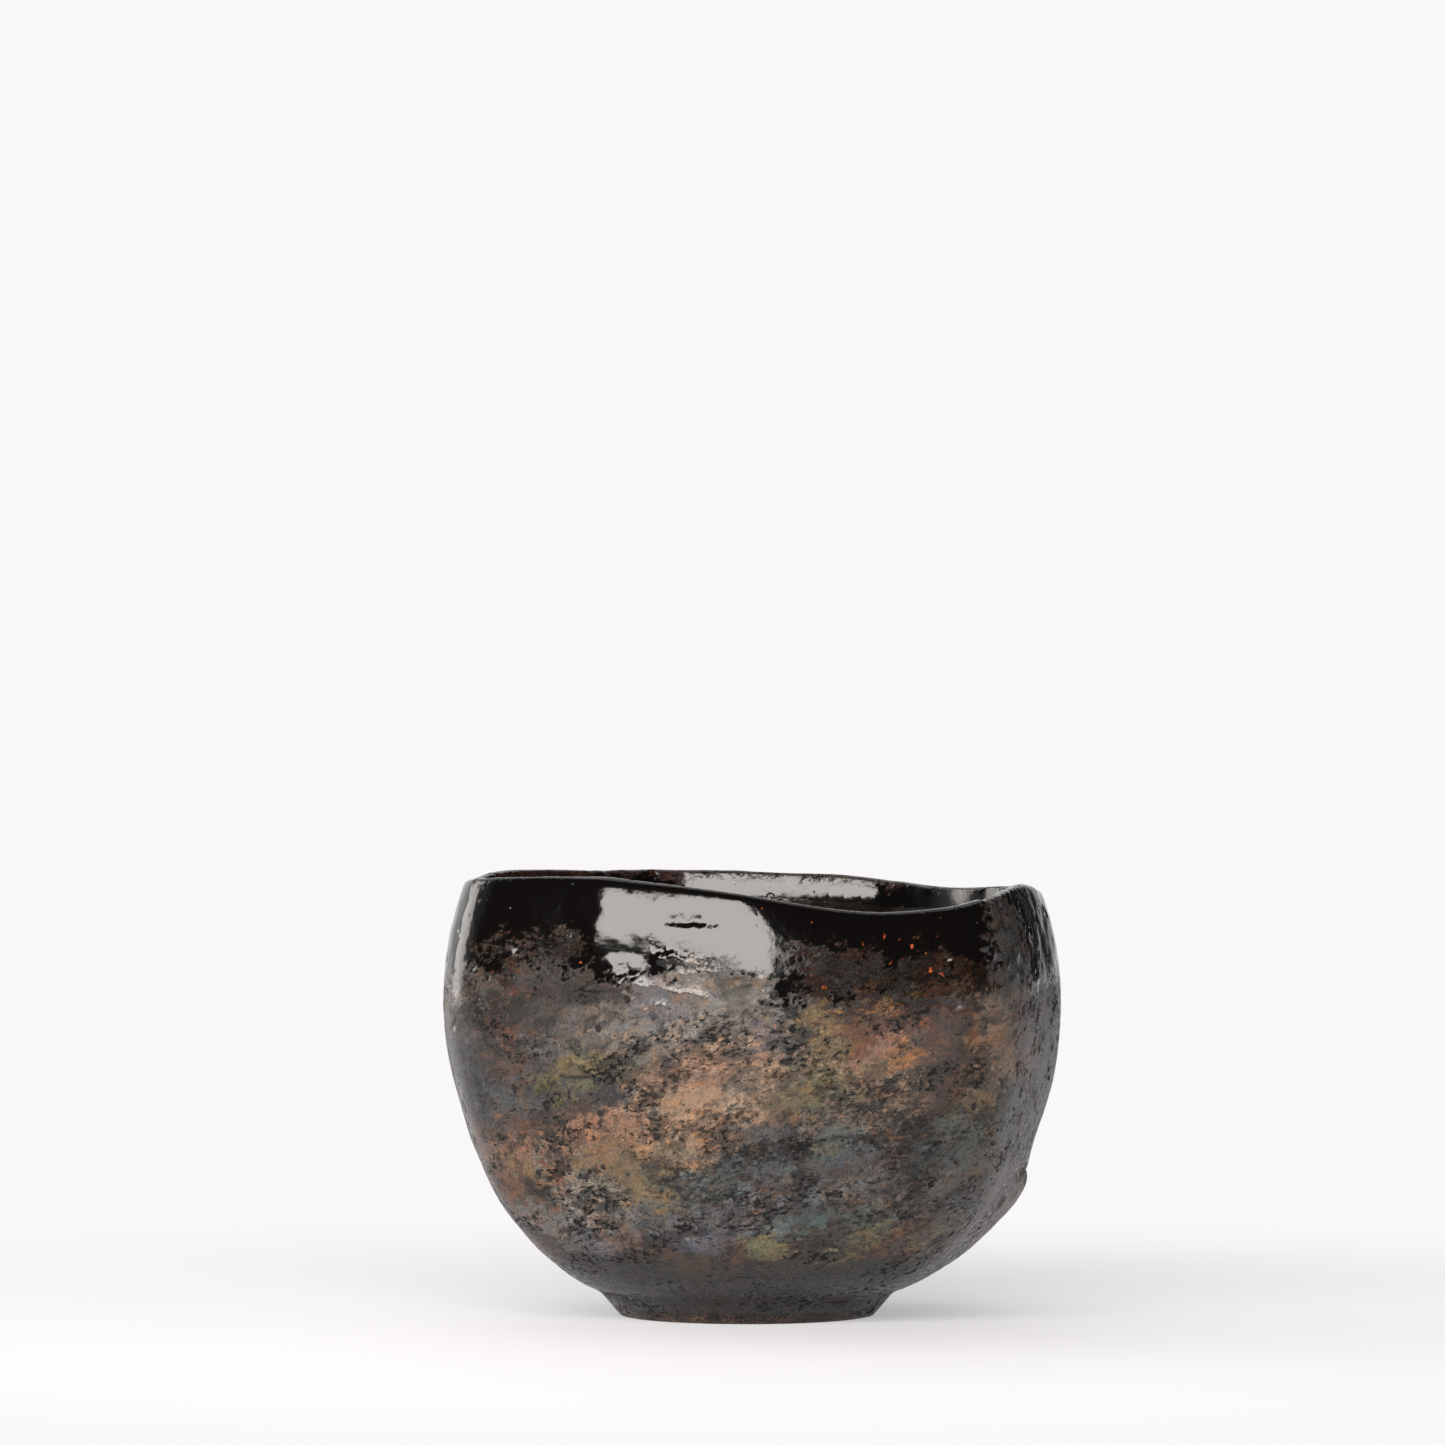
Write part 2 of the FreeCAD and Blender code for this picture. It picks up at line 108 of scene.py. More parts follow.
# colour, bearing, height (mm), half length and half height (mm), tilt (degrees), strength
CLOUDS = (
    # the broad middle of the front, from the left ridge to the right one
    ("slate", -139, 50, 13, 12, 0, 0.9),
    ("slate", -150, 46, 10, 16, 0, 0.8),
    ("leather", -139, 58, 8, 10, 0, 0.7),
    ("soot", -132, 62, 14, 8, 0, 0.8),
    ("soot", -134, 55, 8, 4, 0, 0.7),
    ("leather", -62, 56, 18, 7, 8, 0.9),
    ("leather", -50, 54, 8, 14, 0, 0.8),
    ("bark", -72, 50, 16, 7, 8, 0.6),
    ("leather", -134, 33, 20, 8, 0, 0.8),
    ("iron", -120, 28, 20, 10, 0, 0.6),
    ("iron", -120, 55, 14, 9, 8, 0.8),
    ("ash", -107, 60, 14, 7, 6, 0.95),
    ("ash", -97, 66, 10, 5, 0, 0.9),
    ("ash", -92, 61, 9, 5, 0, 0.8),
    ("violet", -84, 57, 5, 4, 0, 0.9),
    ("ochre", -77, 59, 6, 5, 30, 0.8),
    ("ochre", -73, 56, 6, 4, 20, 0.8),
    ("bark", -66, 62, 8, 5, 0, 0.7),
    ("ochre", -61, 63, 5, 3, 20, 1.0),
    ("rust", -55, 59, 6, 3, 0, 1.0),
    ("bark", -58, 55, 9, 5, 10, 0.7),
    ("rust", -62, 58, 10, 5, 0, 0.5),
    ("clay", -64, 52, 11, 4, 12, 0.9),
    ("amber", -60, 52, 5, 1.8, 10, 0.75),
    ("sand", -99, 48, 14, 5, 14, 1.0),
    ("clay", -97, 47, 8, 4, 14, 0.9),
    ("sand", -97, 53, 11, 3.5, 14, 1.0),
    ("sand", -107, 42, 16, 5, 12, 1.0),
    ("sand", -87, 45, 13, 6, 10, 0.8),
    ("sand", -90, 40, 12, 4, 10, 0.7),
    ("ash", -72, 41, 13, 4, 12, 0.6),
    ("bark", -82, 44, 8, 4, 10, 0.6),
    ("olive", -75, 47, 9, 4, 10, 0.7),
    ("sand", -60, 44, 6, 4, 10, 0.6),
    ("soot", -53, 46, 4, 9, 0, 0.8),
    ("olive", -122, 50, 9, 4, 10, 0.8),
    ("moss", -132, 46.5, 3.5, 1.6, 18, 0.9),
    ("ochre", -123, 51, 5, 2, 10, 0.9),
    ("slate", -118.5, 44, 6, 2.8, 0, 1.0),
    ("black", -124, 48.5, 4, 0.7, -4, 1.0),
    ("black", -131, 46.6, 2.5, 0.6, 14, 1.0),
    ("slate", -104, 52, 4, 2.5, 20, 0.7),
    ("clay", -99, 51, 12, 3.5, 12, 0.7),
    ("slate", -95, 37, 12, 1.6, 8, 0.8),
    ("violet", -108, 63, 8, 4, 0, 0.5),
    ("bark", -127, 41, 6, 4, 0, 0.8),
    ("clay", -122, 37, 13, 5, 8, 0.9),
    ("clay", -112, 38, 10, 4, 10, 0.9),
    ("ochre", -114, 32, 12, 5, 8, 0.65),
    ("amber", -99, 36.5, 7, 1.4, 4, 0.7),
    ("sand", -105, 34, 9, 3, 4, 0.8),
    ("ochre", -113, 26, 8, 4, 0, 0.7),
    ("teal", -97, 27, 9, 3, 0, 0.6),
    ("soot", -111, 31.5, 2.4, 2.2, 0, 1.0),
    ("umber", -82, 41.5, 2.4, 1.6, 0, 0.9),
    ("clay", -105, 39, 14, 0.7, 14, 0.8),
    # rust and maroon over the front's top corners, and along the lip at the back
    ("bark", -126, 72, 5, 3, 0, 0.7),
    ("char", -141, 66, 7, 4, 0, 0.7),
    ("rust", -134, 65, 7, 1.6, -6, 0.7),
    ("rust", -141, 58, 4, 2.5, -20, 0.7),
    ("bark", -122, 66, 6, 3, 0, 0.6),
    ("umber", -72, 70, 10, 5, 0, 0.8),
    ("umber", -56, 70, 9, 3, 6, 0.8),
    ("maroon", -80, 72, 5, 4, 0, 0.45),
    ("maroon", 60, 86, 40, 3, 0, 0.9),
    ("maroon", 125, 87, 45, 3, 0, 0.9),
    # the cool belt under the front's middle
    ("steel", -84, 31, 14, 4, 4, 0.7),
    ("teal", -72, 36, 8, 3, 12, 0.8),
    ("slate", -68, 31, 9, 5, 6, 0.8),
    ("steel", -78, 26, 12, 2.5, 6, 0.9),
    ("soot", -74, 29, 7, 2, 8, 0.7),
    ("iron", -66, 26, 9, 3, 0, 0.6),
    ("violet", -92, 22, 12, 3, 0, 0.7),
    ("teal", -80, 21, 12, 2, 6, 0.8),
    ("slate", -105, 20, 13, 4, 0, 0.9),
    ("violet", -103, 17, 8, 2.5, 0, 0.8),
    ("teal", -62, 22, 8, 3, 16, 0.7),
    ("soot", -66, 19, 10, 3, 0, 0.6),
    ("olive", -86, 16, 6, 2.5, 0, 1.0),
    ("olive", -70, 14, 9, 2, 4, 0.9),
    ("clay", -77, 14, 6, 1.2, 4, 0.5),
    ("olive", -60, 18, 5, 3, 30, 0.6),
    # low on the left
    ("clay", -143, 32, 9, 6, -10, 0.6),
    ("ochre", -134, 30, 8, 4, -10, 0.7),
    ("ash", -130, 26, 9, 5, -30, 0.7),
    ("leather", -146, 25, 8, 4, -20, 0.9),
    ("rust", -147, 24, 3.5, 1.6, -20, 1.0),
    ("iron", -136, 18, 12, 5, -20, 0.9),
    ("iron", -126, 20, 6, 6, -50, 0.7),
    ("violet", -128, 14, 8, 4, -20, 0.7),
    ("umber", -137, 26.5, 4, 2, -30, 1.0),
    ("rust", -133.5, 30, 3, 1.8, -40, 0.9),
    ("ash", -129, 19, 8, 1.2, -45, 0.8),
    ("steel", -123, 15, 7, 1.0, -35, 0.8),
    ("leather", -122, 16, 8, 3, -30, 0.6),
    ("leather", -110, 13, 14, 1.8, -4, 0.8),
    # dark breaks over the front's shoulders, and one warm one
    ("soot", -134, 73, 13, 5, 0, 0.5),
    ("iron", -143, 70, 5, 5, 0, 0.4),
    ("char", -129, 65, 6, 1.8, -6, 0.75),
    ("char", -139, 61, 4, 2.2, 30, 0.75),
    ("black", -131, 58.5, 3, 1.1, 20, 0.8),
    ("char", -55, 65.5, 7, 3.5, 0, 0.65),
    ("leather", -60, 60, 8, 3, 6, 0.5),
    # the right flat and the flank behind it
    # painted grey sheen: the light's reflection on the flat, painted into its colour
    ("slate", -35, 71, 5.5, 13, 0, 0.95),
    ("black", -21, 77, 8, 6, 0, 1.0),
    ("iron", -39, 60, 5, 5, 0, 0.7),
    ("leather", -32, 54, 10, 10, 0, 0.95),
    ("rust", -31, 54, 9, 9, 0, 0.6),
    ("clay", -42, 49, 6, 4, 80, 0.6),
    ("rust", -27, 58, 3, 1.6, 80, 0.8),
    ("sand", -33, 33, 3, 2, 60, 0.8),
    ("bark", -30, 57, 5, 8, 80, 0.6),
    ("olive", -40, 44, 8, 6, 60, 0.45),
    ("steel", -33, 40, 7, 4, 50, 0.8),
    ("violet", -36, 35, 6, 4, 50, 0.6),
    ("olive", -41, 32, 6, 3, 45, 0.8),
    ("slate", -46, 30, 8, 6, 40, 0.8),
    ("teal", -50, 36, 6, 5, 50, 0.6),
    ("iron", -30, 28, 8, 5, 45, 0.8),
    ("slate", -40, 22, 12, 5, 40, 0.8),
    ("olive", -45, 15, 8, 3, 30, 0.5),
    ("char", -12, 62, 9, 10, 0, 0.8),
    ("soot", -8, 44, 14, 10, 60, 0.8),
    ("iron", 6, 24, 12, 6, 20, 0.8),
    ("umber", 4, 70, 16, 6, 0, 0.6),
    # the left side, past its ridge
    ("bark", -165, 62, 5, 14, 80, 0.8),
    ("iron", -158, 66, 5, 12, 80, 0.6),
    ("slate", 178, 50, 12, 14, 70, 0.8),
    ("clay", 172, 34, 12, 6, -10, 0.7),
    ("iron", 165, 22, 14, 5, 0, 0.8),
    # the back, which goes on in the same way
    ("slate", 30, 48, 14, 10, -8, 0.8),
    ("sand", 48, 40, 16, 6, -12, 0.9),
    ("clay", 62, 50, 12, 5, -12, 0.8),
    ("ochre", 40, 56, 9, 5, -10, 0.8),
    ("rust", 72, 60, 8, 3, -8, 0.8),
    ("ash", 88, 56, 14, 7, -6, 0.8),
    ("sand", 92, 44, 15, 5, -10, 0.9),
    ("steel", 66, 30, 15, 4, -6, 0.9),
    ("teal", 84, 24, 13, 3, -4, 0.8),
    ("olive", 100, 18, 9, 3, 0, 0.8),
    ("slate", 112, 30, 12, 6, 0, 0.8),
    ("clay", 122, 42, 14, 6, -10, 0.8),
    ("ochre", 136, 34, 10, 5, -8, 0.8),
    ("iron", 146, 54, 14, 10, 0, 0.8),
    ("rust", 128, 62, 8, 3, 0, 0.7),
    ("violet", 34, 22, 12, 4, 0, 0.7),
    ("soot", 150, 16, 14, 4, 0, 0.7),
    # the edge between the front and the right flank, which is smooth, with a dark streak along it and a
    # painted grey and warm sheen of the light falling on the flank
    ("black", -46.5, 66, 3.5, 5, 0, 0.85),
    # painted grey sheen of the light on the flank
    ("slate", -39, 72, 4, 11, 0, 0.9),
    ("soot", -50.5, 54, 8, 1.7, 72, 0.8),
    # painted warm light where the light falls on the flank
    ("sand", -40, 55, 6, 9, 0, 0.45),
)

# bearing, height (mm), half length (mm), slope: folds of glaze under the front's gloss
FOLDS = (
    (-111, 66.2, 4, -0.05),
    (-103, 64.6, 6, -0.22),
    (-109, 62.0, 4, 0.05),
    (-100, 68.6, 4, 0.10),
    (-104, 71.0, 5, -0.10),
    (-115, 61.0, 2, -0.10),
)

# bearing, height (mm), radius (mm): single embers in the glaze
EMBERS = (
    (-79, 75.8, 0.5), (-70.5, 70.6, 0.5), (-67, 74.0, 0.6), (-62.5, 75.6, 0.7), (-57.5, 73.6, 0.8),
    (-55, 72.4, 0.5), (-54.5, 69.0, 0.9), (-52.5, 68.2, 0.8), (-52.5, 75.6, 0.6), (-75, 66.0, 0.9),
    (-85, 59.0, 0.6), (-54, 37.5, 0.6), (-63, 33.0, 0.6), (-124.5, 70.5, 0.6), (-119, 40.5, 0.6),
    (-73, 76.7, 0.35), (-71, 77.0, 0.35), (-77, 78.1, 0.3), (-78.5, 77.0, 0.35), (-77.5, 68.1, 0.6),
    (-57.5, 70.6, 0.4), (-62, 70.5, 0.45), (-64, 73.1, 0.35), (-59.5, 75.0, 0.35), (-51, 78.9, 0.4),
    (-87, 80.9, 0.35), (-83.5, 81.3, 0.35), (-51.5, 59.0, 0.5), (-128, 65.3, 0.5), (-148, 63.7, 0.6),
)

WALL_RADIUS_MM = 57.0  # the wall's usual radius, which turns bearings into lengths
LIT = 0.52  # the share of the seen brightness that is the glaze's own, as the light is strong


def linear(colour):
    """A colour of 0 to 255 in sRGB as linear light."""
    share = np.asarray(colour, float) / 255.0
    return np.where(share <= 0.04045, share / 12.92, ((share + 0.055) / 1.055) ** 2.4)


def smooth(low, high, value):
    """0 at low, 1 at high, and a smooth rise between."""
    share = np.clip((value - low) / (high - low), 0.0, 1.0)
    return share * share * (3.0 - 2.0 * share)


# --- the skins, drawn on the CAD solids -----------------------------------------------------------

BOWL_NODES = ("outer_glaze", "lip_glaze", "inner_glaze", "well_glaze_pool", "clay_body", "foot_ring")
SWEEP_STEPS = 300
TOP_ELEVATION = 40.0  # degrees: rays as steep as this from the hub pass over the lip
BOTTOM_ELEVATION = -89.9
FOOT_MIDDLE = 0.78  # where the middle of the foot's section lies, as a share of its outer radius
RAYS_PER_FOOT_ROW = 6

EASED_START = OUTSIDE_ROWS + 11  # the rows whose shading is eased, from the lip's crest inwards
EASED_END = OUTSIDE_ROWS + LIP_ROWS + 8
EASING_PASSES = 120

TINY = 1e-12  # keeps the length of a normal from being zero


def solid_tree(*names):
    """The CAD solids of those names as one tree for casting rays at."""
    corners, faces = [], []
    for name in names:
        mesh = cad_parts[name].data
        start = len(corners)
        corners += [v.co.copy() for v in mesh.vertices]
        faces += [[start + index for index in face.vertices] for face in mesh.polygons]
    return BVHTree.FromPolygons(corners, faces)


def ray(bearing, elevation):
    """The direction of a bearing and an elevation, both in radians."""
    level = math.cos(elevation)
    return Vector((math.cos(bearing) * level, math.sin(bearing) * level, math.sin(elevation)))


def hits(tree, bearing, elevations, inwards):
    """Where rays between the hub and the outside, one for each elevation, first meet the solids."""
    found = []
    for elevation in elevations:
        way = ray(bearing, elevation)
        start, aim = (HUB + way * REACH, -way) if inwards else (HUB, way)
        hit = tree.ray_cast(start, aim, REACH)[0]
        if hit is None:
            break
        found.append(hit)
    return np.array(found)


def arc_lengths(line):
    """How far along a line each of its points lies."""
    return np.concatenate([[0.0], np.cumsum(np.linalg.norm(np.diff(line, axis=0), axis=1))])


def spread(line, count):
    """The same line with its points spread evenly along it."""
    lengths = arc_lengths(line)
    places = np.linspace(0.0, lengths[-1], count)
    return np.stack([np.interp(places, lengths, line[:, axis]) for axis in range(3)], axis=1)


def below_lip(line):
    """The line without its last stretch, which the band of the lip's glaze covers."""
    lengths = arc_lengths(line)
    return line[lengths[-1] - lengths > LIP_BAND]


def fan(tree, bearing, middle, angles):
    """Where rays in a bearing's plane, coming in at those angles towards the middle, meet the solids."""
    out = np.array(ray(bearing, 0.0))
    line = []
    for angle in angles:
        way = Vector(out * math.cos(angle) + np.array((0.0, 0.0, math.sin(angle))))
        line.append(tree.ray_cast(Vector(middle) + way * 2 * LIP_BAND, -way)[0])
    return np.array(line)


def lip_line(tree, bearing, outer, inner):
    """The lip's section between a point outside it and one inside it."""
    middle = (outer + inner) / 2
    out = np.array(ray(bearing, 0.0))
    first, last = (math.atan2(end[2] - middle[2], (end - middle) @ out) for end in (outer, inner))
    line = fan(tree, bearing, middle, np.linspace(first, last % math.tau, 2 * LIP_ROWS)[1:-1])
    return np.vstack([outer, line, inner])


def draw_wall(joint):
    """The bowl's skin from below its joint with the foot, over the lip, to the middle of the well.

    It is a grid of points: a column for each bearing, and rows along the skin.
    """
    tree = solid_tree(*BOWL_NODES)
    lowest = math.atan2(joint.z - FOOT_LAP - HUB.z, joint.x - FOOT_LAP)
    highest = math.radians(TOP_ELEVATION)
    outside_sweep = np.linspace(lowest, highest, SWEEP_STEPS)
    inside_sweep = np.linspace(math.radians(BOTTOM_ELEVATION), highest, SWEEP_STEPS)
    columns = []
    for bearing in np.linspace(0.0, math.tau, COLUMNS, endpoint=False):
        outside = below_lip(hits(tree, bearing, outside_sweep, inwards=True))
        inside = below_lip(hits(tree, bearing, inside_sweep, inwards=False))
        rows = [
            spread(outside, OUTSIDE_ROWS),
            spread(lip_line(tree, bearing, outside[-1], inside[-1]), LIP_ROWS)[1:-1],
            spread(inside[::-1], INSIDE_ROWS),
        ]
        columns.append(np.vstack(rows))
    return np.array(columns)


def eased(wall):
    """A copy of the wall whose turn from the lip into the inside is eased, for its shading alone."""
    wall = wall.copy()
    for _ in range(EASING_PASSES):
        turn = wall[:, EASED_START:EASED_END]
        beside = wall[:, EASED_START - 1 : EASED_END - 1] + wall[:, EASED_START + 1 : EASED_END + 1]
        around = np.roll(turn, 1, axis=0) + np.roll(turn, -1, axis=0)
        wall[:, EASED_START:EASED_END] = turn / 3 + (beside + around) / 6
    return wall


def draw_foot(low, high):
    """The foot ring's skin as a grid that closes both round the ring and round its section."""
    tree = solid_tree("foot_ring")
    angles = np.linspace(0.0, math.tau, FOOT_ROWS * RAYS_PER_FOOT_ROW, endpoint=False)
    columns = []
    for bearing in np.linspace(0.0, math.tau, COLUMNS, endpoint=False):
        middle = np.array(ray(bearing, 0.0)) * (high.x * FOOT_MIDDLE)
        middle[2] = (low.z + high.z) / 2
        line = fan(tree, bearing, middle, angles)
        columns.append(spread(np.vstack([line, line[:1]]), FOOT_ROWS + 1)[:-1])
    return np.array(columns)


def grid_normals(grid, closed=False):
    """The outward normal at each point of a grid that closes round the bowl."""
    around = np.roll(grid, -1, axis=0) - np.roll(grid, 1, axis=0)
    if closed:
        along = np.roll(grid, -1, axis=1) - np.roll(grid, 1, axis=1)
    else:
        along = np.gradient(grid, axis=1)
    normals = np.cross(around, along)
    return normals / np.maximum(np.linalg.norm(normals, axis=2, keepdims=True), TINY)


def inside_box(grid):
    """The grid held inside the CAD box, whose size the looks don't change."""
    return np.clip(grid, np.array(CAD_LOW), np.array(CAD_HIGH))


# --- places on the wall ---------------------------------------------------------------------------

BANDS = {  # bearing, half width (mm)
    "gloss": (-92, 26.0),
    "gloss_front": (-90, 60.0),
    "gloss_right": (-66, 20.0),
    "gloss_left": (-140, 14.0),
    "left_gloss": (-151, 7.0),
    "far_lip": (95, 70.0),
    "slit": (-101, 6.0),
    "shelf": (-116, 6.0),
    "left_crest": (-121.5, 5.0),
    "drips": (-38, 6.0),
    "ledge": (4, 16.0),
    "right_side": (-14, 20.0),
    "left_side": (-170, 18.0),
    "right_pits": (-20, 26.0),
    "left_pits": (-165, 20.0),
}

PATCHES = {  # bearing, half length (mm), height (mm), half height (mm)
    "crumbs": (-116, 6.0, 68.0, 3.0),
    "blob": (-116, 6.0, 68.0, 4.0),
    "satin": (-103, 8.0, 69.0, 5.0),
    "bursts": (-141, 8.0, 26.0, 8.0),
    "right_embers": (-64, 16.0, 74.0, 9.0),
    "left_embers": (-135, 12.0, 72.0, 12.0),
    "lip_embers": (-80, 26.0, 81.0, 3.0),
    "calm_front": (-97, 17.0, 46.0, 10.0),
    "calm_flank": (-39, 7.0, 54.0, 11.0),
}

CREST_ROW = OUTSIDE_ROWS + 8  # the row along the crest of the lip
CREST_HALF_ROWS = 3.5

GRAIN_SHIFT = np.array((17.3, 5.1, 9.7))  # how far one seed's noise lies from the next one's
OCTAVE_STEP = 2.0  # how much finer each octave of it is than the one before
SIDEWAYS = (0.6, 0.6, 1.0)  # draws its forms out sideways
UPWARDS = (1.0, 1.0, 0.3)  # draws them out upwards


def bell(distance, half_width):
    """1 at no distance, and a smooth fall on both sides."""
    return np.exp(-((distance / half_width) ** 2))


def crease(distance, half_width):
    """A ridge with a sharp crest and straight flanks."""
    return np.clip(1.0 - np.abs(distance) / half_width, 0.0, 1.0)


def turned_from(bearings, bearing):
    """How far bearings lie from one bearing, in millimetres round the wall."""
    turn = (bearings - bearing + 180.0) % 360.0 - 180.0
    return turn * math.pi / 180.0 * WALL_RADIUS_MM


class Skin:
    """A grid of points with their bearings in degrees and their heights in millimetres."""

    def __init__(self, grid):
        self.grid = grid
        self.bearings = np.degrees(np.arctan2(grid[..., 1], grid[..., 0]))
        self.heights = grid[..., 2] / MM
        self.rows = np.arange(grid.shape[1])
        self.outside = self.rows < OUTSIDE_ROWS + LIP_ROWS // 2

    def band(self, name):
        """1 along the middle of a named upright band, falling off to its sides."""
        bearing, half_width = BANDS[name]
        return bell(turned_from(self.bearings, bearing), half_width)

    def patch(self, name):
        """1 in the middle of a named patch, falling off around it."""
        bearing, half_length, height, half_height = PATCHES[name]
        across = turned_from(self.bearings, bearing)
        return bell(across, half_length) * bell(self.heights - height, half_height)

    def grain(self, size_mm, octaves, seed, crispness=0.9, drawn=(1.0, 1.0, 1.0)):
        """Fractal noise over the skin, mostly between -1 and 1.

        Its broadest forms are about as wide as size_mm, and the lower the crispness, the stronger
        its finest ones.
        """
        points = (self.grid * np.array(drawn)).reshape(-1, 3) / (size_mm * MM) + GRAIN_SHIFT * seed
        values = [noise.fractal(p, crispness, OCTAVE_STEP, octaves) for p in points.tolist()]
        return np.array(values).reshape(self.heights.shape)


# --- marks of the hand ----------------------------------------------------------------------------

DEPTHS = {  # how far each mark stands out, or goes in where below zero, in millimetres
    "lumps": 0.24,
    "ripples": 0.13,
    "drips": 0.16,
    "folds": 0.42,
    "crumbs": 0.12,
    "shelf": 0.55,
    "slit": -0.36,
    "left_crest": 0.32,
    "right_crest": 0.34,
    "foot_crest": 0.35,
    "lap": 0.1,
    "swelling": 0.45,
}
DEEPEST_MM, HIGHEST_MM = -0.38, 0.7  # the bounds of all marks but the ledge's
JOINT_SHARE = 0.25  # how much of the marks is left at the joint with the foot

# bearing, spread (degrees), lowest and highest (mm), count, how far they are drawn out upwards
CRATERS = (
    (-24, 13.0, 20, 84, 60, 1.0),
    (-34, 5.0, 66, 84, 22, 2.4),
    (-158, 13.0, 18, 80, 60, 1.0),
    (60, 13.0, 15, 80, 60, 1.0),
    (130, 13.0, 15, 80, 50, 1.0),
)
CRATER_SEED = 7
CRATER_RADII = (0.6, 1.5)  # the smallest and the largest, in millimetres
CRATER_DEPTHS = (0.15, 0.35)
CRATER_RIM = 0.35  # how high a rim stands, as a share of its cup's depth


def craters(skin):
    """Small burst bubbles on both flanks, each a cup with a low rim, in millimetres."""
    rng = np.random.default_rng(CRATER_SEED)
    depth = np.zeros_like(skin.heights)
    for bearing, span, low, high, count, drawn in CRATERS:
        for _ in range(count):
            across = turned_from(skin.bearings, bearing + rng.normal(0.0, span))
            up = (skin.heights - rng.uniform(low, high)) / drawn
            reach = np.hypot(across, up) / rng.uniform(*CRATER_RADII)
            rim = CRATER_RIM * bell(reach - 1.15, 0.35)
            depth += rng.uniform(*CRATER_DEPTHS) * (rim - bell(reach, 0.8))
    return depth


def ledge_edge(skin):
    """The lip of clay that overhangs a crack, low on the right flank."""
    level = skin.heights + 1.3 * skin.grain(6, octaves=3, seed=5)
    lip = smooth(17.0, 26.0, level) * smooth(28.6, 25.6, level)
    return skin.band("ledge") * (0.5 * lip - 0.35 * bell(level - 28.0, 0.9))


def fold_crests(skin):
    """1 along the crests of the folds, and 0 away from them."""
    wander = 0.9 * skin.grain(4, octaves=3, seed=16, crispness=0.5)
    crests = np.zeros_like(skin.heights)
    for bearing, height, half_length, slope in FOLDS:
        across = turned_from(skin.bearings, bearing)
        along = smooth(1.2, 0.6, np.abs(across) / half_length)
        over = skin.heights - height - slope * across + wander
        crests = np.maximum(crests, along * crease(over, 1.1))
    return crests


def gloss_marks(skin):
    """The folds, the crumbs with their shelf, and the slit, in and under the front's gloss."""
    folds = DEPTHS["folds"] * fold_crests(skin)
    crumbs = DEPTHS["crumbs"] * skin.grain(1.7, octaves=2, seed=7) * skin.patch("crumbs")
    shelf = DEPTHS["shelf"] * skin.band("shelf") * smooth(64.0, 66.0, skin.heights)
    shelf = shelf * np.clip((72.0 - skin.heights) / 6.0, 0.0, 1.0)
    up_slit = skin.heights - 77.3 + 0.35 * skin.grain(2.5, octaves=3, seed=6, crispness=0.5)
    slit = DEPTHS["slit"] * skin.band("slit") * smooth(0.0, 0.9, up_slit)
    slit = slit * np.clip(1.0 - up_slit / 3.4, 0.0, 1.0)
    return folds + crumbs + shelf + slit


def ridge_crests(skin):
    """The crests of the ridges on both sides of the front, and of the one down to the foot."""
    left = DEPTHS["left_crest"] * skin.band("left_crest") * smooth(60.0, 74.0, skin.heights)
    from_right = turned_from(skin.bearings, -44.5 + (skin.heights - 75.0) * 0.25)
    right = DEPTHS["right_crest"] * crease(from_right, 5.0) * smooth(34.0, 56.0, skin.heights)
    from_foot_ridge = turned_from(skin.bearings, -130)
    foot = DEPTHS["foot_crest"] * crease(from_foot_ridge, 7.0) * bell(skin.heights - 18.0, 9.0)
    return left + right + foot


def glossy_front(skin):
    """1 on the smooth glossy upper front, and 0 away from it."""
    return skin.band("gloss") * smooth(62.0, 70.0, skin.heights)


def arc_from_joint(wall):
    """How far each point lies up the skin from its lower edge on the foot, in millimetres."""
    steps = np.linalg.norm(np.diff(wall, axis=1), axis=2)
    start = np.zeros((len(wall), 1))
    return np.concatenate([start, np.cumsum(steps, axis=1)], axis=1) / MM


def press(wall, normals):
    """The wall pressed and scored by hand. The marks hardly go deeper than the glaze."""
    skin = Skin(wall)
    up_skin = arc_from_joint(wall)
    mirror = glossy_front(skin)
    sides = np.clip(skin.band("right_side") + skin.band("left_side"), 0.0, 1.0)

    lumps = DEPTHS["lumps"] * skin.grain(24, octaves=2, seed=1) * (1.0 - 0.6 * mirror)
    ripples = DEPTHS["ripples"] * skin.grain(7, octaves=3, seed=2) * (1.0 - 0.8 * mirror)
    ripples = ripples * (0.6 + 0.6 * sides)
    drips = DEPTHS["drips"] * skin.grain(1.8, octaves=2, seed=3, drawn=UPWARDS)
    drips = drips * skin.band("drips") * smooth(62.0, 74.0, skin.heights)
    lap = DEPTHS["lap"] * bell(up_skin, 3.0)
    swelling = DEPTHS["swelling"] * bell(skin.heights - 69.5, 9.0)

    outer = ripples + drips + lap + gloss_marks(skin) + ridge_crests(skin) + craters(skin)
    inner = swelling + 0.12 * ripples
    marks = np.clip(lumps + np.where(skin.outside, outer, inner), DEEPEST_MM, HIGHEST_MM)
    marks += ledge_edge(skin) * skin.outside
    marks *= JOINT_SHARE + (1.0 - JOINT_SHARE) * smooth(0.0, 6.0, up_skin)
    return inside_box(wall + normals * marks[..., None] * MM)


# --- painting -------------------------------------------------------------------------------------


def tinted(tint, name, share):
    """The tint mixed with a named colour by a share."""
    return tint + (linear(COLOURS[name]) - tint) * share[..., None]


